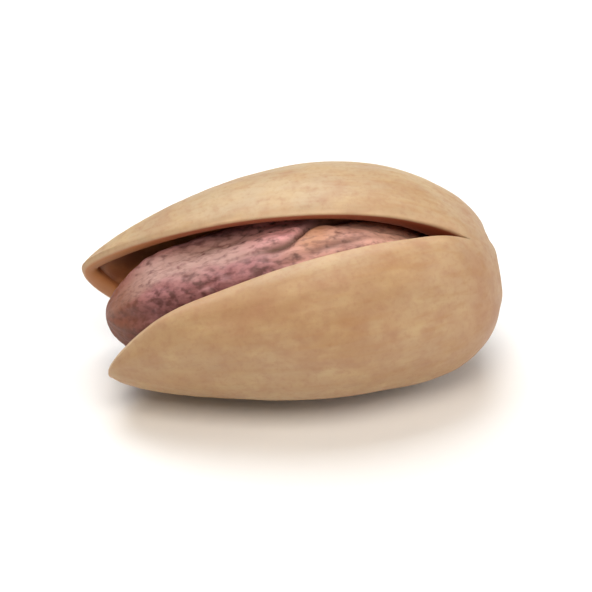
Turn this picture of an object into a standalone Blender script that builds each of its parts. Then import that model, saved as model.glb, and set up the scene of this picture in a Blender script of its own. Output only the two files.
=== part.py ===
"""Pistachio in shell, lying on its back with its split gaping up and to the front.

The hard shell grew as one piece: two valves that are still joined at the stem end and have sprung apart
along their seam from the tip. The wide split runs along the front of the seam almost to the stem end, and
the narrow one along the back only to the middle. The kernel, in its wrinkled purple skin, lies loose inside.

Both pieces are shaped in the nut's own frame: along it from the stem end to the tip, across it in the plane
of the seam towards the wide split, and out of that plane towards the upper valve. An empty then lays the
nut down. Lengths are in metres. Blender's +Z is up, and the tip points to -X.
"""

import math

import bmesh
import bpy
import numpy as np
from mathutils import Matrix, Vector

# Shell
LENGTH = 0.0220
HALF_WIDTH = 0.00544  # in the plane of the seam
HALF_THICKNESS = 0.00608  # from that plane to a valve's crown, before it gapes
WIDTH_BLUNT, WIDTH_SHARP = 0.44, 0.726  # the egg's powers at its stem end and its tip
THICKNESS_BLUNT, THICKNESS_SHARP = 0.40, 0.838
BACK_BLUNT, BACK_SHARP = 0.52, 0.635  # the back of the seam is fuller towards the tip, and the nut lies on it
TIP_ROUNDNESS = 0.03  # the share of its length over which an egg's tip is rounded off
BOW = 0.00082  # the middle leans this far towards the wide split
LOWER_SWELL, LOWER_SWELL_AT, LOWER_SWELL_SPREAD = 0.0006, 0.84, 0.11  # the lower valve's lip is fuller
LOWER_SHORTNESS, SHORTNESS_POWER = 0.0005, 11  # and its tip ends this much before the upper one
WALL = 0.00090
LIP_THINNING, LIP_THINNING_SPREAD = 0.00028, 0.40  # how much thinner the wall is at its lips
HOLLOW_START, HOLLOW_END = 0.0011, 0.0211  # the hollow's ends, along the nut
HOLLOW_SQUARENESS = 5  # how long the hollow keeps its full breadth before it closes at its ends
LIP_ROUNDING = 0.00018
LIP_ANGLE = math.radians(50)  # edges that turn more than this are lips

# Gape of the two valves, which swing about a slanting line in the plane of the seam
HINGE_FRONT = Vector((0.00065, 0.0046))  # along the nut, and across it
HINGE_BACK = Vector((0.0115, -0.0054))
GAPE_SLOPE = 0.18  # how fast a valve leaves the plane of the seam, beyond the hinge line
HINGE_SOFTNESS = 0.0008
TIP_CURL = 0.00108  # how much further the tips stand apart than straight valves would
CURL_REACH = 0.003  # past the hinge line, where the curl is fully there
LEAST_SWING = 0.00002  # the split opens where the valves have swung this far

# Relief of the shell
SEAM_KEEL, SEAM_KEEL_SPREAD = 0.00014, 0.30  # height, and spread round the nut in radians
SEAM_GROOVE, SEAM_GROOVE_SPREAD = 0.00016, 0.085
UNEVENNESS = 0.00007
SCAR_DEPTH, SCAR_SPREAD = 0.00030, 0.00112
SCAR_RIM, SCAR_RIM_RADIUS, SCAR_RIM_SPREAD = 0.00014, 0.0014, 0.00049
SEAM_TWIST, SEAM_TWIST_REACH = 0.95, 0.02  # radians that the seam turns by, and the share of the length it takes
NOTCH_ACROSS, NOTCH_OUT = 0.0011, 0.0015  # where the front seam ends, beside the scar
NOTCH_DEPTH, NOTCH_SPREAD = 0.00030, 0.00050

# Kernel
KERNEL_START, KERNEL_LENGTH = 0.0020, 0.01915
KERNEL_HALF_WIDTH = 0.00382
KERNEL_HALF_THICKNESS = 0.00385
KERNEL_BLUNT, KERNEL_SHARP = 0.43, 0.49
KERNEL_SAG = 0.00050  # how far it has sunk towards the lower valve
KERNEL_TIP_RISE = 0.00055  # how far its tip stands up again
RIDGE_HEIGHT, RIDGE_ANGLE, RIDGE_SPREAD = 0.00026, -0.03, 0.26
RIDGE_DIP, RIDGE_DIP_START = 0.6, 0.87  # it turns down by this much from here to the tip
WRINKLE = 0.00010
CREASE_DEPTH, CREASE_SPREAD = 0.00036, 0.10
CREASE_MIDDLE, CREASE_LENGTH = 0.38, 0.20  # shares of the kernel's length
CREASE_LOW, CREASE_HIGH = 0.10, 0.64  # its angle along the ridge, and after it has climbed the flank
CREASE_TURN, CREASE_TURN_LENGTH = 0.44, 0.05  # where it climbs

# Swellings of the kernel: height, angle round it and spread, share of its length and spread
BROW = 0.00080, 0.10, 0.50, 0.32, 0.24  # the stem half's front, up in the narrow end of the split
CROWN = 0.00060, 1.05, 0.50, 0.40, 0.28  # the flank, up behind the upper lip
SHOULDER = 0.00040, 0.90, 0.45, 0.87, 0.08  # the flank near the tip

# Resting pose
SPLIT_RAISED = math.radians(66)  # the wide split's direction, above the horizontal
TIP_LOWERED = math.radians(1.9)
FLAT_DEPTH = 0.00010  # how much of the belly is worn flat where the nut lies

# Fineness of the meshes
SHELL_ROUND, SHELL_ALONG = 44, 36
KERNEL_ROUND, KERNEL_ALONG = 52, 36
SEAM_CROWDING = 0.25  # draws the shell's mesh lines towards its seam
FRONT_CROWDING, FRONT_MIDDLE = 0.35, 0.37  # and the kernel's towards this angle, which shows in the split

# Materials
SHELL_COLOUR, SHELL_ROUGHNESS = (0.60, 0.42, 0.23), 0.55
KERNEL_COLOUR, KERNEL_ROUGHNESS = (0.24, 0.09, 0.10), 0.60

# What each mesh point carries
INSIDE, SIDE, ALONG, ROUND = "inside", "side", "along", "round"


def clear_scene():
    for old in list(bpy.data.objects):
        bpy.data.objects.remove(old)


def taper(s, blunt, sharp):
    """Power curves that rise from the blunt end and fall to the rounded tip."""
    left = np.clip(1 - s, 0, 1)
    return np.clip(s, 0, 1) ** blunt * np.sqrt(left) * (left + TIP_ROUNDNESS) ** (sharp - 0.5)


def egg(s, blunt, sharp):
    """An egg's half-breadth at share s of its length: 0 at the ends, 1 where it is widest."""
    return taper(s, blunt, sharp) / taper(blunt / (blunt + sharp), blunt, sharp)


def bump(offset, spread):
    """A smooth swelling, 1 at offset 0 and fading over spread."""
    return np.exp(-((offset / spread) ** 2))


def from_seam(angle):
    """Angle round the nut from the nearer of its two seam lines."""
    return np.abs(np.arcsin(np.clip(np.sin(angle), -1, 1)))


def half_width(s, angle):
    """The shell's half-breadth in the plane of the seam: one egg to the front, a fuller one behind."""
    front = egg(s, WIDTH_BLUNT, WIDTH_SHARP)
    back = egg(s, BACK_BLUNT, BACK_SHARP)
    behind = np.clip(-np.cos(angle), 0, 1) ** 2
    return HALF_WIDTH * (front + (back - front) * behind)


def beyond_hinge(along, across):
    """Distance past the hinge line, towards the tip and the wide split."""
    line = (HINGE_BACK - HINGE_FRONT).normalized()
    return (HINGE_FRONT[0] - along) * line[1] + (across - HINGE_FRONT[1]) * line[0]


def swing(along, across):
    """How far a valve has left the plane of the seam: nothing behind the hinge line, then ever more."""
    past = np.maximum(beyond_hinge(along, across), 0)
    straight = GAPE_SLOPE * (np.sqrt(past**2 + HINGE_SOFTNESS**2) - HINGE_SOFTNESS)
    return straight + TIP_CURL * (along / LENGTH) ** 4 * np.clip(past / CURL_REACH, 0, 1)


def shell_relief(s, angle):
    """Height of the seam's keel and groove, and of the broad swellings of the shell."""
    off = from_seam(angle - SEAM_TWIST * np.exp(-s / SEAM_TWIST_REACH))
    seam = SEAM_KEEL * bump(off, SEAM_KEEL_SPREAD) - SEAM_GROOVE * bump(off, SEAM_GROOVE_SPREAD)
    broad = np.sin(2 * angle + 1.3) * np.sin(9.0 * s + 0.4)
    broad += 0.7 * np.sin(5 * angle + 3.0 * s + 2.0)
    broad += 0.5 * np.sin(9 * angle - 5.0 * s)
    return (seam + UNEVENNESS * broad) * np.sqrt(egg(s, 0.5, 0.5))


def scar(radius):
    """Height of the stem scar at the blunt end: a shallow dish with a low rim."""
    dish = -SCAR_DEPTH * bump(radius, SCAR_SPREAD)
    return dish + SCAR_RIM * bump(radius - SCAR_RIM_RADIUS, SCAR_RIM_SPREAD)


def stem_end(across, out):
    """Height of the relief at the blunt end: the stem scar, and the notch where the front seam ends."""
    notch = np.hypot(across - NOTCH_ACROSS, out - NOTCH_OUT)
    return scar(np.hypot(across, out)) - NOTCH_DEPTH * bump(notch, NOTCH_SPREAD)


def lower_lip(s, angle, side):
    """How much fuller the lower valve is than the upper one, at its front lip near the tip."""
    front = np.clip(np.cos(angle), 0, 1) ** 2
    return LOWER_SWELL * bump(s - LOWER_SWELL_AT, LOWER_SWELL_SPREAD) * front * (side < 0)


def shell_outside(s, angle, side):
    relief = shell_relief(s, angle)
    wide = half_width(s, angle) + lower_lip(s, angle, side) + relief
    thick = HALF_THICKNESS * egg(s, THICKNESS_BLUNT, THICKNESS_SHARP) + relief
    across = wide * np.cos(angle)
    out = thick * np.sin(angle)
    along = s * LENGTH - stem_end(across, out) * (s < 0.5)
    return along, across + BOW * np.sin(np.pi * s), out


def shell_inside(s, angle, side):
    along = HOLLOW_START + s * (HOLLOW_END - HOLLOW_START)
    share = along / LENGTH
    wall = WALL - LIP_THINNING * bump(from_seam(angle), LIP_THINNING_SPREAD)
    closing = np.sqrt(np.clip(1 - np.abs(2 * s - 1) ** HOLLOW_SQUARENESS, 0, 1))
    wide = half_width(share, angle) + lower_lip(share, angle, side) - wall
    thick = HALF_THICKNESS * egg(share, THICKNESS_BLUNT, THICKNESS_SHARP) - wall
    across = wide * closing * np.cos(angle) + BOW * np.sin(np.pi * share)
    return along, across, thick * closing * np.sin(angle)


def valve_swing(s, angle):
    """How far the wall at this place has left the plane of the seam, the same through its thickness."""
    across = half_width(s, angle) * np.cos(angle) + BOW * np.sin(np.pi * s)
    return swing(s * LENGTH, across)


def wrinkles(s, angle):
    """Lengthwise folds of the kernel's skin, which wander a little on their way."""
    wander = angle + 0.10 * np.sin(7.0 * s + 1.0)
    folds = 0.9 * np.sin(7 * wander + 2.0 * s) + 0.8 * np.sin(11 * wander - 3.0 * s + 0.7)
    folds += 0.5 * np.sin(3 * wander + 14.0 * s)
    return WRINKLE * folds * np.sqrt(egg(s, 0.5, 0.5))


def ridge(s, angle):
    """The blunt edge along the kernel's front."""
    course = RIDGE_ANGLE - RIDGE_DIP * np.clip((s - RIDGE_DIP_START) / (1 - RIDGE_DIP_START), 0, 1) ** 2
    return RIDGE_HEIGHT * bump(angle - course, RIDGE_SPREAD)


def swellings(s, angle):
    total = 0
    for height, middle, spread, share, length in (BROW, CROWN, SHOULDER):
        total = total + height * bump(angle - middle, spread) * bump(s - share, length)
    return total


def crease(s, angle):
    """The fold that leaves the ridge at the kernel's middle and climbs its flank towards the stem end."""
    climbed = (1 + np.tanh((CREASE_TURN - s) / CREASE_TURN_LENGTH)) / 2
    course = CREASE_LOW + (CREASE_HIGH - CREASE_LOW) * climbed
    return -CREASE_DEPTH * bump(s - CREASE_MIDDLE, CREASE_LENGTH) * bump(angle - course, CREASE_SPREAD)


def kernel_surface(s, angle):
    along = KERNEL_START + s * KERNEL_LENGTH
    breadth = egg(s, KERNEL_BLUNT, KERNEL_SHARP)
    relief = wrinkles(s, angle) + breadth * (ridge(s, angle) + swellings(s, angle) + crease(s, angle))
    across = (KERNEL_HALF_WIDTH * breadth + relief) * np.cos(angle)
    out = (KERNEL_HALF_THICKNESS * breadth + relief) * np.sin(angle)
    across = across + BOW * np.sin(np.pi * along / LENGTH)
    return along, across, out - KERNEL_SAG + KERNEL_TIP_RISE * s**3


def ball(segments, rings):
    """A sphere whose points carry where they lie: their share of the way from stem end to tip, and angle round."""
    bm = bmesh.new()
    bmesh.ops.create_uvsphere(bm, u_segments=segments, v_segments=rings, radius=1)
    along = bm.verts.layers.float.new(ALONG)
    round_ = bm.verts.layers.float.new(ROUND)
    for vert in bm.verts:
        vert[along] = (1 + vert.co.z) / 2
        vert[round_] = math.atan2(vert.co.y, vert.co.x)
    return bm


def read(bm, name):
    layer = bm.verts.layers.float[name]
    return np.array([vert[layer] for vert in bm.verts])


def place(bm, points):
    for vert, point in zip(bm.verts, np.stack(points, axis=-1)):
        vert.co = point


def split_seam(bm):
    """Parts the sphere's edges along the seam wherever the valves have left its plane."""
    along, angle = bm.verts.layers.float[ALONG], bm.verts.layers.float[ROUND]
    on_seam = [e for e in bm.edges if all(abs(v.co.y) < 1e-6 for v in e.verts)]
    parted = [e for e in on_seam if all(valve_swing(v[along], v[angle]) > LEAST_SWING for v in e.verts)]
    bmesh.ops.split_edges(bm, edges=parted)


def mark_sides(bm):
    """Each point learns which valve it is on: 1 on the upper one, -1 on the lower one, 0 on the joined seam."""
    side = bm.verts.layers.float.new(SIDE)
    for vert in bm.verts:
        halves = {math.copysign(1, face.calc_center_median().y) for face in vert.link_faces}
        vert[side] = sum(halves)


def line_inside(bm):
    """Adds the wall's inner face behind the outer one and joins the two along the lips."""
    inside = bm.verts.layers.float.new(INSIDE)
    rim = [edge for edge in bm.edges if edge.is_boundary]
    copy = bmesh.ops.duplicate(bm, geom=bm.verts[:] + bm.edges[:] + bm.faces[:])
    inner = [item for item in copy["geom"] if isinstance(item, bmesh.types.BMVert)]
    for vert in inner:
        vert[inside] = 1
    faces = [item for item in copy["geom"] if isinstance(item, bmesh.types.BMFace)]
    bmesh.ops.reverse_faces(bm, faces=faces)
    twin = copy["vert_map"]
    for edge in rim:
        near, far = (loop.vert for loop in (edge.link_loops[0], edge.link_loops[0].link_loop_next))
        bm.faces.new((far, near, twin[near], twin[far]))


def finished(bm, name, colour, roughness):
    """The mesh as a smooth object in its own material."""
    mesh = bpy.data.meshes.new(name)
    bm.to_mesh(mesh)
    bm.free()
    mesh.shade_smooth()
    material = bpy.data.materials.new(name)
    material.use_nodes = True
    surface = material.node_tree.nodes["Principled BSDF"]
    surface.inputs["Base Color"].default_value = (*colour, 1)
    surface.inputs["Roughness"].default_value = roughness
    surface.inputs["Metallic"].default_value = 0
    mesh.materials.append(material)
    return bpy.data.objects.new(name, mesh)


def make_shell():
    bm = ball(SHELL_ROUND, SHELL_ALONG)
    split_seam(bm)
    mark_sides(bm)
    line_inside(bm)
    s, angle, side = read(bm, ALONG), read(bm, ROUND), read(bm, SIDE)
    angle = angle - SEAM_CROWDING * np.sin(2 * angle)
    inside, outside = shell_inside(s, angle, side), shell_outside(s, angle, side)
    along, across, out = np.where(read(bm, INSIDE) > 0.5, inside, outside)
    along = along - LOWER_SHORTNESS * s**SHORTNESS_POWER * (side < 0)
    place(bm, (along, across, out + side * valve_swing(s, angle)))
    shell = finished(bm, "shell", SHELL_COLOUR, SHELL_ROUGHNESS)
    rounding = shell.modifiers.new("lip_rounding", "BEVEL")
    rounding.width = LIP_ROUNDING
    rounding.segments = 2
    rounding.limit_method = "ANGLE"
    rounding.angle_limit = LIP_ANGLE
    return shell


def make_kernel():
    bm = ball(KERNEL_ROUND, KERNEL_ALONG)
    angle = read(bm, ROUND)
    angle = angle - FRONT_CROWDING * np.sin(angle - FRONT_MIDDLE)
    place(bm, kernel_surface(read(bm, ALONG), angle))
    return finished(bm, "kernel", KERNEL_COLOUR, KERNEL_ROUGHNESS)


def resting_turn():
    """Turns the nut's own frame so that its tip points to -X and the wide split up and to the front."""
    tip = Vector((-1, 0, 0))
    split = Vector((0, -math.cos(SPLIT_RAISED), math.sin(SPLIT_RAISED)))
    turn = Matrix((tip, split, tip.cross(split))).transposed()
    return Matrix.Rotation(-TIP_LOWERED, 3, "Y") @ turn


def lay_down(shell, kernel):
    """Parents both pieces to an empty that lays them on Z = 0 over the origin, and flattens the belly there."""
    turn = resting_turn()
    points = np.array([v.co for v in shell.data.vertices]) @ np.array(turn.transposed())
    low, high = points.min(0), points.max(0)
    pose = bpy.data.objects.new("resting_pose", None)
    pose.matrix_world = turn.to_4x4()
    pose.location = (-(low[0] + high[0]) / 2, -(low[1] + high[1]) / 2, -low[2] - FLAT_DEPTH)
    up = turn.transposed() @ Vector((0, 0, 1))
    for vert in shell.data.vertices:
        height = up.dot(vert.co) + pose.location.z
        if height < 0:
            vert.co -= up * height
    for piece in (shell, kernel):
        piece.parent = pose
    return pose


def main():
    clear_scene()
    nut = bpy.data.collections.new("pistachio_in_shell")
    bpy.context.scene.collection.children.link(nut)
    shell, kernel = make_shell(), make_kernel()
    pose = lay_down(shell, kernel)
    for piece in (pose, shell, kernel):
        nut.objects.link(piece)


main()
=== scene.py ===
"""Pistachio in its split shell: the finished look of the shell and the kernel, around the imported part."""

import math

import bmesh
import bpy
import numpy as np
from mathutils import Matrix, Vector


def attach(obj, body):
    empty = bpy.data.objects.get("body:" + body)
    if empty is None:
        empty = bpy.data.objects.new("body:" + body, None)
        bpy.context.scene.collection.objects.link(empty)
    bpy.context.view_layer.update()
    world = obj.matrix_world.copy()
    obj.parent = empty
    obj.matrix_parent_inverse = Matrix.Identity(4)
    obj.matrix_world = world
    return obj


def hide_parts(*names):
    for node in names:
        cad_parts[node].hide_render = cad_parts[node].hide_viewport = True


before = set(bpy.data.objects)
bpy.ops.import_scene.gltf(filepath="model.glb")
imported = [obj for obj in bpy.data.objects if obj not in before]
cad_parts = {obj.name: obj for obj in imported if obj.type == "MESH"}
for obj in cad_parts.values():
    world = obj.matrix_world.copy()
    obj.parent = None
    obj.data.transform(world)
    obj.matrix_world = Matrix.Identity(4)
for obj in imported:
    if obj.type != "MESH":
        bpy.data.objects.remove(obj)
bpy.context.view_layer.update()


# Shell
# Two hard woody valves that grew as one piece. They are joined at the stem end and along the back up to the
# middle, and have sprung apart from the tip. Their outside is dry and matte, with faint lines along the nut.
LENGTH = 0.0220
HALF_WIDTH = 0.00544
HALF_THICKNESS = 0.00608
WIDTH_BLUNT, WIDTH_SHARP = 0.44, 0.726
THICKNESS_BLUNT, THICKNESS_SHARP = 0.40, 0.838
BACK_BLUNT, BACK_SHARP = 0.52, 0.635
TIP_ROUNDNESS = 0.045
BOW = 0.00082
LOWER_SWELL, LOWER_SWELL_AT, LOWER_SWELL_SPREAD = 0.0006, 0.84, 0.11
TIP_CLOSING = 0.03  # the last share of the length, where that swelling closes
LOWER_SHORTNESS, SHORTNESS_POWER = 0.0005, 14
WALL = 0.00090
LIP_THINNING, LIP_THINNING_SPREAD = 0.00028, 0.40
HOLLOW_START, HOLLOW_END = 0.0011, 0.0211
HOLLOW_SQUARENESS = 5
HINGE_FRONT = Vector((0.00065, 0.0046))
HINGE_BACK = Vector((0.0115, -0.0054))
GAPE_SLOPE = 0.18
HINGE_SOFTNESS = 0.0008
TIP_CURL = 0.00108
CURL_REACH = 0.003
SEAM_KEEL, SEAM_KEEL_SPREAD = 0.00014, 0.30
SEAM_GROOVE, SEAM_GROOVE_SPREAD = 0.00016, 0.085
SEAM_TWIST, SEAM_TWIST_REACH = 0.95, 0.02
UNEVENNESS = 0.00007
SCAR_DEPTH, SCAR_SPREAD = 0.00030, 0.00112
SCAR_RIM, SCAR_RIM_RADIUS, SCAR_RIM_SPREAD = 0.00014, 0.0014, 0.00049
NOTCH_ACROSS, NOTCH_OUT = 0.0011, 0.0015
NOTCH_DEPTH, NOTCH_SPREAD = 0.00030, 0.00050
SPLIT_RAISED = math.radians(66)
TIP_LOWERED = math.radians(1.9)
FLAT_DEPTH = 0.00010

STEM_HALF = 0.5  # the scar's relief reaches this share of the length at most
LIP_RADIUS = 0.00016  # how far the wall's edge rounds off
TIP_LIP_GROWTH, TIP_LIP_POWER = 1.3, 8  # at the tips it is this much greater
LIP_SQUARENESS = 2.4
OPENING_SWING = 0.00010  # the lips are fully rounded where a valve has swung this far
LEAST_SWING = 1e-6
LOWER_RISE, LOWER_RISE_AT, LOWER_RISE_SPREAD = 0.00018, 0.14, 0.07  # the lower lip swells at the stem end
LIP_HIGHLIGHT_REACH = 0.0006  # how far from the lips the painted highlight reaches, where the shell is paler
LUMPS_ROUND, LUMPS_TURN, LUMPS_ALONG, LUMPS_SHIFT = 2, 1.3, 9.0, 0.4
BROAD_WAVES = (0.7, 5, 3.0, 2.0), (0.5, 9, -5.0, 0.0)  # a wave's height, turns round, turn along and phase
RIPPLE, RIPPLES = 0.000022, (0.0022, 11, 3.0)  # a height, and its field's wavelength, seed and stretch
VEIN, VEINS = 0.000012, (0.0007, 12, 9.0)
SHELL_ROWS, OUTSIDE_COLUMNS, INSIDE_COLUMNS, LIP_COLUMNS = 200, 110, 56, 11
WELD = 2e-8  # points this near each other are one


def taper(s, blunt, sharp):
    """Share s of the length to one power, times what is left of it to another, which near the tip becomes a
    root and so rounds the tip off."""
    left = np.clip(1 - s, 0, 1)
    return np.clip(s, 0, 1) ** blunt * np.sqrt(left) * (left + TIP_ROUNDNESS) ** (sharp - 0.5)


def egg(s, blunt, sharp):
    """An egg's half-breadth at share s of its length: its taper over the taper where it is widest."""
    return taper(s, blunt, sharp) / taper(blunt / (blunt + sharp), blunt, sharp)


def fade(s):
    """Fades out towards both ends of the nut: the square root of an even egg."""
    return np.sqrt(egg(s, 0.5, 0.5))


def bump(offset, spread):
    """A smooth swelling: e to the minus square of offset over spread."""
    return np.exp(-((offset / spread) ** 2))


def ramp(offset, reach):
    """0 up to no offset, 1 from the reach on, and straight between."""
    return np.clip(offset / reach, 0, 1)


def waves(s, angle, rows):
    """Sine waves over a skin, each its height times the sine of its turns round and along and its phase."""
    return [height * np.sin(turns * angle + along * s + phase) for height, turns, along, phase in rows]


def half_width(s, angle):
    """Half-breadth in the seam's plane: one egg in front and a fuller one behind, by the cosine squared."""
    front = egg(s, WIDTH_BLUNT, WIDTH_SHARP)
    back = egg(s, BACK_BLUNT, BACK_SHARP)
    return HALF_WIDTH * (front + (back - front) * np.clip(-np.cos(angle), 0, 1) ** 2)


def swing(s, angle):
    """How far a valve has left the plane of the seam: a straight slope past the slanting hinge line,
    softened at the line, and a curl that grows with the fourth power of the way to the tip."""
    along = s * LENGTH
    across = half_width(s, angle) * np.cos(angle) + BOW * np.sin(np.pi * s)
    line = (HINGE_BACK - HINGE_FRONT).normalized()
    past = (HINGE_FRONT[0] - along) * line[1] + (across - HINGE_FRONT[1]) * line[0]
    past = np.maximum(past, 0)
    straight = GAPE_SLOPE * (np.sqrt(past**2 + HINGE_SOFTNESS**2) - HINGE_SOFTNESS)
    left = straight + TIP_CURL * s**4 * ramp(past, CURL_REACH)
    return np.where(left < LEAST_SWING, 0, left)


DRIFT_WAVES, DRIFT_SUM = 32, 6  # how many waves a random field has, and what their sum seldom passes
LEAST_RATE, MOST_RATE = 0.6, 1.6  # a wave's least and greatest rate, against that of the wavelength


def drift(places, wavelength, seed, stretch):
    """A smooth random field of about -1 to 1: the sum of sine waves in directions, lengths and phases drawn
    from the seed, each wave drawn out along the nut by the stretch."""
    draw = np.random.default_rng(seed)
    way = draw.normal(size=(DRIFT_WAVES, 3))
    way /= np.linalg.norm(way, axis=1, keepdims=True)
    way *= 2 * np.pi / wavelength * draw.uniform(LEAST_RATE, MOST_RATE, (DRIFT_WAVES, 1))
    way[:, 0] /= stretch
    phase = draw.uniform(0, 2 * np.pi, DRIFT_WAVES)
    return np.sin(places @ way.T + phase).sum(axis=-1) / DRIFT_SUM


def shell_relief(s, angle, places):
    """Height of the outside's relief: the seam's keel and groove, broad swellings as sines round and along,
    and random ripples and fine veins drawn out along the nut. It fades to nothing at both ends, and the
    seam turns round the nut towards the stem end by a falling power of e."""
    turned = angle - SEAM_TWIST * np.exp(-s / SEAM_TWIST_REACH)
    off = np.abs(np.arcsin(np.clip(np.sin(turned), -1, 1)))
    seam = SEAM_KEEL * bump(off, SEAM_KEEL_SPREAD) - SEAM_GROOVE * bump(off, SEAM_GROOVE_SPREAD)
    lumps = np.sin(LUMPS_ROUND * angle + LUMPS_TURN) * np.sin(LUMPS_ALONG * s + LUMPS_SHIFT)
    broad = sum(waves(s, angle, BROAD_WAVES), lumps)
    ripples = RIPPLE * drift(places, *RIPPLES)
    veins = VEIN * drift(places, *VEINS)
    return (seam + UNEVENNESS * broad + ripples + veins) * fade(s)


def stem_end(across, out):
    """Height of the relief at the blunt end: the dish and rim of the stem scar, and the notch beside it."""
    radius = np.hypot(across, out)
    rim = SCAR_RIM * bump(radius - SCAR_RIM_RADIUS, SCAR_RIM_SPREAD)
    dish = SCAR_DEPTH * bump(radius, SCAR_SPREAD)
    notch = NOTCH_DEPTH * bump(np.hypot(across - NOTCH_ACROSS, out - NOTCH_OUT), NOTCH_SPREAD)
    return rim - dish - notch


def lip_radius(s, angle):
    """How far the wall's edge rounds off: the full radius where the valves stand apart, nothing where they
    are joined, and a blend of the front lip's and the back lip's by the cosine of the angle."""
    front = ramp(swing(s, 0.0), OPENING_SWING)
    back = ramp(swing(s, np.pi), OPENING_SWING)
    share = (1 + np.cos(angle)) / 2
    growth = 1 + TIP_LIP_GROWTH * s**TIP_LIP_POWER
    return LIP_RADIUS * growth * (front * share + back * (1 - share))


def swung(s, angle, side, along, across, out):
    """Holds a face of the wall off the plane of the seam by the lip's radius, as the root of the summed
    squares, then swings the valve out and shortens the lower one at its tip by a high power of s."""
    out = side * (np.hypot(out, lip_radius(s, angle)) + swing(s, angle))
    along = along - LOWER_SHORTNESS * s**SHORTNESS_POWER * (side < 0)
    return np.stack(np.broadcast_arrays(along, across, out), axis=-1)


def widths(s, angle, side, apart):
    """Half-breadths of a valve in the plane of the seam, with the lower lip's swellings, and out of it. The
    swelling at the stem end opens with how far the face has swung apart."""
    closing = np.sqrt(ramp(1 - s, TIP_CLOSING))
    swell = LOWER_SWELL * bump(s - LOWER_SWELL_AT, LOWER_SWELL_SPREAD) * closing * (side < 0)
    opened = ramp(apart, OPENING_SWING)
    swell += LOWER_RISE * bump(s - LOWER_RISE_AT, LOWER_RISE_SPREAD) * opened * (side < 0)
    wide = half_width(s, angle) + swell * np.clip(np.cos(angle), 0, 1) ** 2
    return wide, HALF_THICKNESS * egg(s, THICKNESS_BLUNT, THICKNESS_SHARP)


def valve_outside(s, angle, side):
    """Outer face of a valve: the egg's section at share s, raised by its relief, at an angle from 0 at the
    front lip to pi at the back one."""
    wide, thick = widths(s, angle, side, swing(s, 0.0))
    plain = (s * LENGTH, wide * np.cos(angle), side * thick * np.sin(angle))
    relief = shell_relief(s, side * angle, np.stack(np.broadcast_arrays(*plain), axis=-1))
    across, out = (wide + relief) * np.cos(angle), (thick + relief) * np.sin(angle)
    along = s * LENGTH - stem_end(across, side * out) * (s < STEM_HALF)
    return swung(s, angle, side, along, across + BOW * np.sin(np.pi * s), out)


def valve_inside(s, angle, side):
    """Inner face of a valve: the outer egg less the wall, thinner at the lips, closed at both ends by the
    root of 1 less a high power of the way from the middle."""
    along = HOLLOW_START + s * (HOLLOW_END - HOLLOW_START)
    share = along / LENGTH
    off = np.abs(np.arcsin(np.clip(np.sin(angle), -1, 1)))
    wall = WALL - LIP_THINNING * bump(off, LIP_THINNING_SPREAD)
    closing = np.sqrt(np.clip(1 - np.abs(2 * s - 1) ** HOLLOW_SQUARENESS, 0, 1))
    wide, thick = widths(share, angle, side, swing(s, 0.0))
    across = (wide - wall) * closing * np.cos(angle) + BOW * np.sin(np.pi * share)
    out = np.maximum(thick - wall, 0) * closing * np.sin(angle)
    return swung(s, angle, side, along, across, out)


def lip(outer, inner, radius, side):
    """The rounded edge between the wall's faces: half a superellipse from the outer edge to the inner one,
    which stands out towards the other valve by the radius."""
    bend = np.linspace(0, np.pi, LIP_COLUMNS)
    over = np.sign(np.cos(bend)) * np.abs(np.cos(bend)) ** (2 / LIP_SQUARENESS)
    stand = np.abs(np.sin(bend)) ** (2 / LIP_SQUARENESS)
    points = (outer + inner)[:, None] / 2 + (outer - inner)[:, None] / 2 * over[:, None]
    points[..., 2] -= side * radius[:, None] * stand
    return points, (1 - over) / 2


def sheet(points, flip, **marks):
    """A grid of points with its faces' turn and what each point carries."""
    spread = {name: np.broadcast_to(mark, points.shape[:2]) for name, mark in marks.items()}
    return {"points": points, "flip": flip, "marks": spread}


def shell_sheets(side):
    """A valve as grids: its outer face, its inner face and the two lips between them, each lip from the last
    row where the valves are joined on to the tip. Their points carry what the finish follows: how far
    through the wall they are, how near a lip for the painted highlight there, and their place along, across
    and out of the seam."""
    s = (1 - np.cos(np.linspace(0, np.pi, SHELL_ROWS)))[:, None] / 2
    outer_angle = np.linspace(0, np.pi, OUTSIDE_COLUMNS)
    inner_angle = np.linspace(0, np.pi, INSIDE_COLUMNS)
    outer, inner = valve_outside(s, outer_angle, side), valve_inside(s, inner_angle, side)
    sheets = []
    for points, angle, wall in ((outer, outer_angle, 0.0), (inner, inner_angle, 1.0)):
        from_lip = np.abs(points[..., 2]) - swing(s, angle)
        # where the painted highlight along the lips lies
        edge = bump(from_lip, LIP_HIGHLIGHT_REACH) * ramp(lip_radius(s, angle), LIP_RADIUS)
        marks = {"wall": wall, "lip": edge, "share": s}
        marks |= {"across": fade(s) * np.cos(angle), "out": side * fade(s) * np.sin(angle)}
        sheets.append(sheet(points, (side < 0) != (wall > 0.5), **marks))
    for column, angle in ((0, 0.0), (-1, np.pi)):
        first = np.flatnonzero(swing(s[:, 0], angle) == 0)[-1]
        radius = lip_radius(s[first:, 0], angle)
        points, wall = lip(outer[first:, column], inner[first:, column], radius, side)
        flip = (side > 0) == (column == 0)
        edge = ramp(radius, LIP_RADIUS)[:, None]
        across = math.cos(angle) * fade(s[first:])
        sheets.append(sheet(points, flip, wall=wall, lip=edge, share=s[first:], across=across, out=0))
    return sheets


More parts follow.
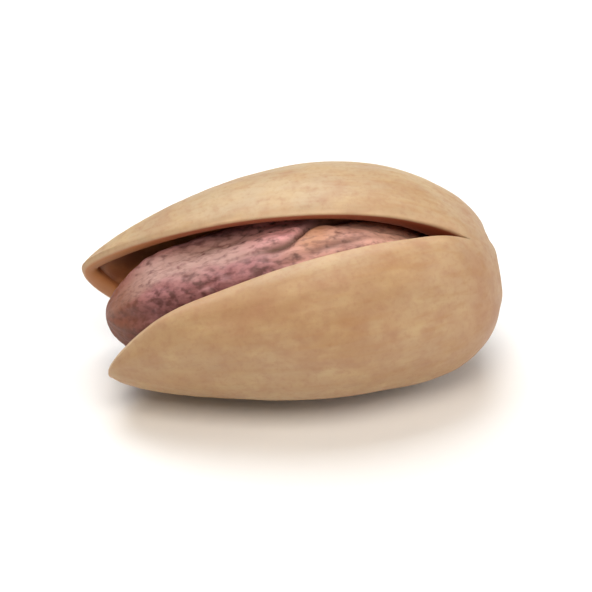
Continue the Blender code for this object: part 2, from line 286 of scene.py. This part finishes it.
def mesh_of(name, sheets):
    """One closed mesh from grids of points: each cell becomes a face, and points that meet are merged."""
    points = np.concatenate([part["points"].reshape(-1, 3) for part in sheets])
    faces, start = [], 0
    for part in sheets:
        rows, columns = part["points"].shape[:2]
        index = start + np.arange(rows * columns).reshape(rows, columns)
        corners = index[:-1, :-1], index[:-1, 1:], index[1:, 1:], index[1:, :-1]
        cells = np.stack(corners, axis=-1).reshape(-1, 4)
        faces.append(cells[:, ::-1] if part["flip"] else cells)
        start += rows * columns
    mesh = bpy.data.meshes.new(name)
    mesh.from_pydata(points, [], np.concatenate(faces).tolist())
    for mark in sheets[0]["marks"]:
        values = np.concatenate([part["marks"][mark].reshape(-1) for part in sheets])
        mesh.attributes.new(mark, "FLOAT", "POINT").data.foreach_set("value", values.astype(np.float32))
    closed = bmesh.new()
    closed.from_mesh(mesh)
    bmesh.ops.remove_doubles(closed, verts=closed.verts, dist=WELD)
    closed.to_mesh(mesh)
    closed.free()
    mesh.shade_smooth()
    return mesh


def show(mesh):
    """Puts a finished mesh in the scene as an object at the origin."""
    piece = bpy.data.objects.new(mesh.name, mesh)
    bpy.context.scene.collection.objects.link(piece)
    return piece


# The nut lies on its back, its tip towards -X and the wide split up and to the front, flat where it touches.
tip_way = Vector((-1, 0, 0))
split_way = Vector((0, -math.cos(SPLIT_RAISED), math.sin(SPLIT_RAISED)))
level_turn = Matrix((tip_way, split_way, tip_way.cross(split_way))).transposed()
turn = np.array(Matrix.Rotation(-TIP_LOWERED, 3, "Y") @ level_turn)

shell_parts = shell_sheets(1) + shell_sheets(-1)
outline = np.concatenate([part["points"].reshape(-1, 3) for part in shell_parts]) @ turn.T
low, high = outline.min(axis=0), outline.max(axis=0)
middle = (low + high) / 2
lie = np.array((-middle[0], -middle[1], -low[2] - FLAT_DEPTH))
for part in shell_parts:
    part["points"] = part["points"] @ turn.T + lie
    part["points"][..., 2] = np.maximum(part["points"][..., 2], 0)


class Signal:
    """A socket of a material's node tree. Arithmetic on signals adds the Math nodes that work it out."""

    def __init__(self, tree, socket=None):
        self.tree = tree
        self.socket = socket

    def node(self, kind, settings, values, output=0):
        """Adds a node with its settings and then the values or links of its sockets, for one output."""
        made = self.tree.nodes.new("ShaderNode" + kind)
        for setting, value in settings.items():
            setattr(made, setting, value)
        for place, value in values.items():
            if isinstance(value, Signal):
                self.tree.links.new(value.socket, made.inputs[place])
            else:
                made.inputs[place].default_value = value
        return Signal(self.tree, made.outputs[output])

    def maths(self, operation, first, second):
        """Adds a Math node."""
        return self.node("Math", {"operation": operation}, {0: first, 1: second})

    def __add__(self, other):
        return self.maths("ADD", self, other)

    def __radd__(self, other):
        return self.maths("ADD", other, self)

    def __sub__(self, other):
        return self.maths("SUBTRACT", self, other)

    def __rsub__(self, other):
        return self.maths("SUBTRACT", other, self)

    def __mul__(self, other):
        return self.maths("MULTIPLY", self, other)

    def __rmul__(self, other):
        return self.maths("MULTIPLY", other, self)

    def mark(self, name):
        """What the mesh's points carry under this name."""
        return self.node("Attribute", {"attribute_name": name}, {}, "Fac")

    def rise(self, low, high):
        """0 at low, 1 at high, smooth between and flat past them, whichever of the two is the greater."""
        ends = {"Value": self, "From Min": low, "From Max": high}
        return self.node("MapRange", {"interpolation_type": "SMOOTHSTEP"}, ends)

    def tint(self, under, over):
        """The colour under where this mask is 0, and the colour over where it is 1."""
        return self.node("Mix", {"data_type": "RGBA"}, {0: self, 6: under, 7: over}, 2)

    def noise(self, size, detail, drawn_out=1.0, shift=0.0):
        """Noise of features this big round this place, drawn out along the nut, around 0.5."""
        placed = {"Vector": self, "Scale": (1 / drawn_out, 1, 1), "Location": (shift, shift, 0)}
        place = self.node("Mapping", {}, placed)
        return self.node("TexNoise", {}, {"Vector": place, "Scale": 1 / size, "Detail": detail})


def paint(red, green, blue):
    """A colour from its screen values out of 255, as the light it gives back."""
    light = [((v / 255 + 0.055) / 1.055) ** 2.4 for v in (red, green, blue)]
    return (*light, 1)


def new_finish(name):
    """A material and its surface node."""
    material = bpy.data.materials.new(name)
    material.use_nodes = True
    return material, material.node_tree.nodes["Principled BSDF"]


def washed(colour, washes):
    """The colour under thin washes of paint, each of them a mask, a strength and a paint."""
    for mask, strength, over in washes:
        colour = (mask * strength).tint(colour, over)
    return colour


def wear(surface, **ends):
    """Links signals to the surface's sockets, named with _ for a space."""
    for place, signal in ends.items():
        signal.tree.links.new(signal.socket, surface.inputs[place.replace("_", " ")])


UPPER_CREAM = paint(186, 167, 138)
# painted shade: the lower valve's cream, darker and more ochre than the upper one's
SHADED_LOWER_CREAM = paint(178, 147, 113)
OCHRE = paint(168, 126, 80)
ROSY_BROWN = paint(160, 112, 84)
STRAW = paint(200, 176, 132)
LIP_HIGHLIGHT_CREAM = paint(206, 172, 138)
CUT_BROWN = paint(150, 82, 52)
CUT_TAN = paint(176, 118, 72)
CUT_SHADE_DARK = paint(124, 58, 32)
INNER_TAN = paint(172, 114, 70)
INNER_BROWN = paint(132, 78, 46)
STROKE_SPREAD, STROKE_LENGTH = 0.005, 14  # the strokes' own tube: its radius and drawing out
CLOUDS = 0.0042, 2.0, 1.5  # a pattern's size, detail, how far it is drawn out along the nut, and its shift
BLOTCHES = 0.0016, 3.0, 1.3, 0.3
PATCHES = 0.0012, 2.0, 1.4, 0.6
FRECKLES = 0.00055, 2.0, 1.2, 0.9
GRAINS = 0.00022, 3.0, 1.0, 1.1
STROKES = 0.00030, 2.0
SHELL_ROUGHNESS, ROUGHNESS_SPREAD = 0.42, 0.2
SHELL_DENT, SHELL_DENTING = 0.00003, 0.6  # how deep the fine pattern goes in, and how strongly it shows


def dry_shell():
    """Matte shell: soft clouds and blotches, strokes along the nut and fine grain, a painted highlight along
    the lips, red-brown cut faces painted darker towards the stem end as painted shade, and a tan inside. The
    lower valve is painted darker and more ochre than the upper one, as painted shade."""
    material, surface = new_finish("dry_shell")
    start = Signal(material.node_tree)
    spot = start.node("TexCoord", {}, {}, "Object")
    wall, lips, share, across, out = (start.mark(name) for name in ("wall", "lip", "share", "across", "out"))
    tube = {"X": share * (LENGTH / STROKE_LENGTH), "Y": across * STROKE_SPREAD, "Z": out * STROKE_SPREAD}
    strokes = start.node("CombineXYZ", {}, tube).noise(*STROKES)
    clouds, blotches, patches, freckles, grains = (
        spot.noise(*pattern) for pattern in (CLOUDS, BLOTCHES, PATCHES, FRECKLES, GRAINS)
    )
    washes = (
        (clouds.rise(0.42, 0.70), 0.45, OCHRE),
        (clouds.rise(0.52, 0.30), 0.35, STRAW),
        (blotches.rise(0.45, 0.75), 0.42, ROSY_BROWN),
        (patches.rise(0.40, 0.80), 0.40, STRAW),
        (share.rise(0.20, 0.02), 0.35, ROSY_BROWN),
        # painted shade: the lower valve darker and more ochre towards the tip
        (share.rise(0.55, 0.95) * out.rise(0.05, -0.40), 0.25, OCHRE),
        (freckles.rise(0.45, 0.75), 0.30, ROSY_BROWN),
        (strokes.rise(0.45, 0.75), share.rise(0.6, 0.1) * 0.2 + 0.2, OCHRE),
        (grains.rise(0.48, 0.75), 0.25, ROSY_BROWN),
        # painted highlight: paler cream along the lips, where their edges catch the light
        (lips * patches.rise(0.25, 0.55), 0.30, LIP_HIGHLIGHT_CREAM),
    )
    # painted shade: the lower valve gets the darker cream, the upper one the paler
    colour = washed(out.rise(-0.30, 0.10).tint(SHADED_LOWER_CREAM, UPPER_CREAM), washes)
    cut = share.rise(0.72, 0.94).tint(CUT_BROWN, CUT_TAN)
    # painted shade: the cut faces darker towards the stem end
    cut = share.rise(0.50, 0.25).tint(cut, CUT_SHADE_DARK)
    colour = wall.rise(0.04, 0.22).tint(colour, cut)
    inside = blotches.rise(0.35, 0.65).tint(INNER_TAN, INNER_BROWN)
    colour = wall.rise(0.80, 1.0).tint(colour, inside)
    height = strokes * 0.6 + grains * 0.5
    normal = start.node("Bump", {}, {"Strength": SHELL_DENTING, "Distance": SHELL_DENT, "Height": height})
    wear(surface, Base_Color=colour, Roughness=grains * ROUGHNESS_SPREAD + SHELL_ROUGHNESS, Normal=normal)
    surface.inputs["Subsurface Weight"].default_value = 0.10
    surface.inputs["Subsurface Radius"].default_value = (1.0, 0.5, 0.2)
    surface.inputs["Subsurface Scale"].default_value = 0.0006
    return material


nutshell = show(mesh_of("nutshell", shell_parts))
nutshell.data.materials.append(dry_shell())
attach(nutshell, "root")
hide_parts("shell")


# Kernel
# The seed, which shrank as it dried and lies loose between the valves, with its thin skin grown onto it. The
# skin dried in folds: mauve below a blunt ridge along the front and paler above it. A crease climbs from the
# ridge towards the stem end, rosy above and tan below.
KERNEL_START, KERNEL_LENGTH = 0.0020, 0.01915
KERNEL_HALF_WIDTH = 0.00382
KERNEL_HALF_THICKNESS = 0.00385
KERNEL_BLUNT, KERNEL_SHARP = 0.43, 0.49
KERNEL_SAG = 0.00050
KERNEL_TIP_RISE = 0.00055
RIDGE_HEIGHT, RIDGE_ANGLE, RIDGE_SPREAD = 0.00026, -0.03, 0.26
RIDGE_DIP, RIDGE_DIP_START = 0.6, 0.87
BROW = 0.00080, 0.10, 0.50, 0.32, 0.24  # a swelling's height, angle and spread, then place along and spread
CROWN = 0.00060, 1.05, 0.50, 0.40, 0.28
SHOULDER = 0.00040, 0.90, 0.45, 0.87, 0.08
CHEEK = 0.00040, 0.62, 0.30, 0.20, 0.12
WRINKLE = 0.00010
CREASE_DEPTH, CREASE_SPREAD = 0.00036, 0.10
CREASE_MIDDLE, CREASE_LENGTH = 0.38, 0.20
CREASE_LOW, CREASE_HIGH = 0.10, 0.64
CREASE_TURN, CREASE_TURN_LENGTH = 0.44, 0.05
CLEFT_DEPTH, CLEFT_SPREAD = 0.00018, 0.045  # the crease's sharp bottom
LOW_FOLD_DEPTH, LOW_FOLD_SPREAD = 0.00012, 0.045
LOW_FOLD_MIDDLE, LOW_FOLD_LENGTH = 0.36, 0.12
LOW_FOLD_START, LOW_FOLD_DROP = 0.36, 0.88
FOLDS = (0.9, 7, 2.0, 0.0), (0.8, 11, -3.0, 0.7), (0.5, 3, 14.0, 0.0)  # set out as BROAD_WAVES is
WANDER, WANDER_TURN, WANDER_PHASE = 0.10, 7.0, 1.0
GROOVE_DEPTH, GROOVE_WIDTH, GROOVES = 0.00006, 0.16, (0.0026, 21, 3.0)  # the field is set out as RIPPLES is
FINE_GROOVE_DEPTH, FINE_GROOVE_WIDTH, FINE_GROOVES = 0.00004, 0.22, (0.0012, 22, 2.0)
PUCKER, PUCKERS = 0.00004, (0.0009, 23, 1.4)
KERNEL_ROWS, KERNEL_COLUMNS = 230, 301


def crease_course(s):
    """Angle of the crease: it climbs from the ridge to the top of the flank by a hyperbolic tangent."""
    climbed = (1 + np.tanh((CREASE_TURN - s) / CREASE_TURN_LENGTH)) / 2
    return CREASE_LOW + (CREASE_HIGH - CREASE_LOW) * climbed


def ridge_course(s):
    """Angle of the ridge, which turns down by a square towards the tip."""
    return RIDGE_ANGLE - RIDGE_DIP * ramp(s - RIDGE_DIP_START, 1 - RIDGE_DIP_START) ** 2


def low_fold_course(s):
    """Angle of a faint second fold below the crease, by a straight line."""
    return LOW_FOLD_START - LOW_FOLD_DROP * s


def kernel_relief(s, angle, places):
    """Height of the skin: wandering folds as sines, narrow grooves along the zero lines of random fields,
    random puckers, the ridge, the swellings, the crease and the fold below it."""
    wander = angle + WANDER * np.sin(WANDER_TURN * s + WANDER_PHASE)
    skin = WRINKLE * sum(waves(s, wander, FOLDS)) + PUCKER * drift(places, *PUCKERS)
    skin -= GROOVE_DEPTH * bump(drift(places, *GROOVES), GROOVE_WIDTH)
    skin -= FINE_GROOVE_DEPTH * bump(drift(places, *FINE_GROOVES), FINE_GROOVE_WIDTH)
    form = RIDGE_HEIGHT * bump(angle - ridge_course(s), RIDGE_SPREAD)
    for height, middle, spread, along, length in (BROW, CROWN, SHOULDER, CHEEK):
        form += height * bump(angle - middle, spread) * bump(s - along, length)
    over = angle - crease_course(s)
    crease = CREASE_DEPTH * bump(over, CREASE_SPREAD) + CLEFT_DEPTH * bump(over, CLEFT_SPREAD)
    form -= crease * bump(s - CREASE_MIDDLE, CREASE_LENGTH)
    low_fold = bump(angle - low_fold_course(s), LOW_FOLD_SPREAD) * bump(s - LOW_FOLD_MIDDLE, LOW_FOLD_LENGTH)
    form -= LOW_FOLD_DEPTH * low_fold
    return skin * fade(s) + egg(s, KERNEL_BLUNT, KERNEL_SHARP) * form


def kernel_surface(s, angle):
    """The seed's skin: an egg raised by its relief, sunk towards the lower valve and lifted at its tip."""
    along = KERNEL_START + s * KERNEL_LENGTH
    breadth = egg(s, KERNEL_BLUNT, KERNEL_SHARP)
    wide, thick = KERNEL_HALF_WIDTH * breadth, KERNEL_HALF_THICKNESS * breadth
    plain = (along, wide * np.cos(angle), thick * np.sin(angle))
    relief = kernel_relief(s, angle, np.stack(np.broadcast_arrays(*plain), axis=-1))
    across = (wide + relief) * np.cos(angle) + BOW * np.sin(np.pi * along / LENGTH)
    out = (thick + relief) * np.sin(angle) - KERNEL_SAG + KERNEL_TIP_RISE * s**3
    return np.stack(np.broadcast_arrays(along, across, out), axis=-1)


CLEFT_START, CLEFT_STARTING = 0.20, 0.08  # where a colour starts or ends, and over how long a way
CLEFT_END, CLEFT_ENDING = 0.60, 0.06
# how dark the painted shade in the faint fold below the crease is
LOW_FOLD_SHADE = 0.7
STEM_HALF_END, STEM_HALF_ENDING = 0.56, 0.10
TAN_MIDDLE, TAN_LENGTH, TAN_OVER_FOLD, TAN_UNDER_CREASE = 0.42, 0.065, 0.12, 0.06
STRIP_UNDER_CREASE = 0.10
ROSY_MIDDLE, ROSY_LENGTH, ROSY_OVER_CREASE = 0.50, 0.10, 0.10
SHADE_END, SHADE_ENDING, SHADE_OVER_CREASE = 0.42, 0.06, 0.06


def kernel_sheet():
    """The kernel as one grid, closed round its middle by its meeting edges. Its points carry where each of
    the skin's colours lies, from how far they are along the seed, over the ridge, over the crease and over
    the fold below it, and where painted shade darkens the crease's bottom and that fold."""
    s = (1 - np.cos(np.linspace(0, np.pi, KERNEL_ROWS)))[:, None] / 2
    angle = np.linspace(-np.pi, np.pi, KERNEL_COLUMNS)
    points = kernel_surface(s, angle)
    above = angle - ridge_course(s)
    over = angle - crease_course(s)
    over_fold = angle - low_fold_course(s)
    stem_half = ramp(STEM_HALF_END - s, STEM_HALF_ENDING)
    # painted shade: dark along the crease's bottom and the faint fold below it
    crease_shade = ramp(s - CLEFT_START, CLEFT_STARTING) * ramp(CLEFT_END - s, CLEFT_ENDING)
    crease_shade = crease_shade * bump(over, CLEFT_SPREAD)
    fold = LOW_FOLD_SHADE * bump(s - LOW_FOLD_MIDDLE, LOW_FOLD_LENGTH) * bump(over_fold, LOW_FOLD_SPREAD)
    tan = stem_half * bump(s - TAN_MIDDLE, TAN_LENGTH) * ramp(over_fold, TAN_OVER_FOLD)
    tan = tan * ramp(-over, TAN_UNDER_CREASE)
    strip = stem_half * ramp(-over, STRIP_UNDER_CREASE)
    rosy = bump(s - ROSY_MIDDLE, ROSY_LENGTH) * ramp(over, ROSY_OVER_CREASE)
    shade = ramp(SHADE_END - s, SHADE_ENDING) * ramp(over, SHADE_OVER_CREASE)
    marks = {"crease_shade": np.maximum(crease_shade, fold), "tan": tan, "strip": strip, "rosy": rosy, "shade": shade}
    return sheet(points, False, share=s, above=above, **marks)


SKIN_PALE = paint(182, 149, 142)
SKIN_PINK = paint(166, 114, 118)
SKIN_MAUVE = paint(132, 86, 90)
SKIN_DARK = paint(84, 46, 42)
SKIN_ROSE = paint(232, 166, 172)
SKIN_BLUSH = paint(212, 160, 148)
SKIN_TAN = paint(188, 138, 102)
SKIN_CREAM = paint(232, 184, 166)
SKIN_BROWN = paint(128, 78, 52)
CREASE_SHADE_BROWN = paint(88, 52, 34)
MOTTLE = 0.00038, 2.0, 1.5  # a pattern's size, detail, how far it is drawn out along the nut, and its shift
BLOOM = 0.0018, 3.0, 2.2, 0.4
SCRATCHES = 0.00022, 3.0, 2.5, 0.8
SKIN_ROUGHNESS = 0.48
SKIN_DENT, SKIN_DENTING = 0.00006, 0.7


def papery_skin():
    """Dry skin: mauve and pink with dark mottling, and a pale band above the ridge. It is rosy above the
    crease, blush and tan below it, cream and tan at the stem end, and brown at the tip, with painted shade
    dark along the crease's bottom and the faint fold below it."""
    material, surface = new_finish("papery_skin")
    start = Signal(material.node_tree)
    spot = start.node("TexCoord", {}, {}, "Object")
    names = ("share", "above", "crease_shade", "tan", "strip", "rosy", "shade")
    share, above, crease_shade, tan, strip, rosy, shade = (start.mark(name) for name in names)
    mottle, bloom, scratches = (spot.noise(*pattern) for pattern in (MOTTLE, BLOOM, SCRATCHES))
    band = (above + bloom * 0.6 - 0.30).rise(-0.10, 0.15) * above.rise(1.0, 0.5)
    washes = (
        (mottle.rise(0.50, 0.32) * bloom.rise(0.30, 0.55), 0.70, SKIN_DARK),
        (above.rise(-0.10, -0.60), 0.45, SKIN_DARK),
        (band * mottle.rise(0.20, 0.50), 0.90, SKIN_PALE),
        (rosy * mottle.rise(0.25, 0.50), 0.80, SKIN_ROSE),
        (strip * mottle.rise(0.25, 0.55), 0.80, SKIN_BLUSH),
        (share.rise(0.34, 0.20), 0.80, SKIN_CREAM),
        (tan, 0.75, SKIN_TAN),
        (shade, 0.90, SKIN_TAN),
        # painted shade along the crease's bottom and the faint fold below it
        (crease_shade, 1.0, CREASE_SHADE_BROWN),
        (share.rise(0.86, 0.98), 0.80, SKIN_BROWN),
        (scratches.rise(0.48, 0.70), 0.40, SKIN_DARK),
    )
    colour = washed(mottle.rise(0.38, 0.62).tint(SKIN_MAUVE, SKIN_PINK), washes)
    height = mottle * 0.5 + scratches * 0.5
    normal = start.node("Bump", {}, {"Strength": SKIN_DENTING, "Distance": SKIN_DENT, "Height": height})
    wear(surface, Base_Color=colour, Roughness=mottle * ROUGHNESS_SPREAD + SKIN_ROUGHNESS, Normal=normal)
    return material


kernel_part = kernel_sheet()
kernel_part["points"] = kernel_part["points"] @ turn.T + lie
seed = show(mesh_of("seed", [kernel_part]))
seed.data.materials.append(papery_skin())
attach(seed, "root")
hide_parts("kernel")


# Floor, light and camera
# A plain pale floor under three soft square lights, a warm one in front, one behind and one beyond the stem
# end, in a pale room. The camera is far off, with a long lens, at the photograph's angle.
FLOOR_SIZE = 1.2
FLOOR_PAINT, FLOOR_ROUGHNESS = paint(240, 246, 252), 0.7
ROOM_COLOUR, ROOM_STRENGTH = (1.0, 0.88, 0.78, 1), 0.16
VIEW_TURN, VIEW_DROP = math.radians(-8.89), math.radians(35)
VIEW_DISTANCE = 0.350
VIEW_LENS = 400
VIEW_CENTRE = Vector((0.0, 0.0, 0.0050))


def pale_floor():
    """A flat square under the nut in matte off-white."""
    mesh = bpy.data.meshes.new("floor")
    half = FLOOR_SIZE / 2
    corners = [(-half, -half, 0), (half, -half, 0), (half, half, 0), (-half, half, 0)]
    mesh.from_pydata(corners, [], [(0, 1, 2, 3)])
    material, surface = new_finish("pale_floor")
    surface.inputs["Base Color"].default_value = FLOOR_PAINT
    surface.inputs["Roughness"].default_value = FLOOR_ROUGHNESS
    mesh.materials.append(material)
    return show(mesh)


def soft_light(name, place, size, power, colour):
    """A square area light that faces the nut."""
    light = bpy.data.lights.new(name, "AREA")
    light.shape = "SQUARE"
    light.size = size
    light.energy = power
    light.color = colour
    lamp = bpy.data.objects.new(name, light)
    lamp.location = place
    lamp.rotation_euler = (Vector(place) - VIEW_CENTRE).to_track_quat("Z", "Y").to_euler()
    bpy.context.scene.collection.objects.link(lamp)


pale_floor()
soft_light("front", (-0.03, -0.14, 0.26), 0.18, 0.55, (1.0, 0.84, 0.68))
soft_light("window", (-0.02, 0.13, 0.26), 0.24, 0.78, (1.0, 0.98, 0.96))
soft_light("side", (0.26, -0.10, 0.14), 0.20, 0.34, (1.0, 0.97, 0.92))
room = bpy.data.worlds.new("pale_room")
room.use_nodes = True
glow = room.node_tree.nodes["Background"]
glow.inputs["Color"].default_value = ROOM_COLOUR
glow.inputs["Strength"].default_value = ROOM_STRENGTH
bpy.context.scene.world = room
bpy.context.scene.view_settings.view_transform = "Standard"

view = bpy.data.cameras.new("view")
view.lens = VIEW_LENS
camera = bpy.data.objects.new("view", view)
level = math.cos(VIEW_DROP)
back = Vector((math.sin(VIEW_TURN) * level, -math.cos(VIEW_TURN) * level, math.sin(VIEW_DROP)))
camera.location = VIEW_CENTRE + VIEW_DISTANCE * back
camera.rotation_euler = back.to_track_quat("Z", "Y").to_euler()
bpy.context.scene.collection.objects.link(camera)
bpy.context.scene.camera = camera
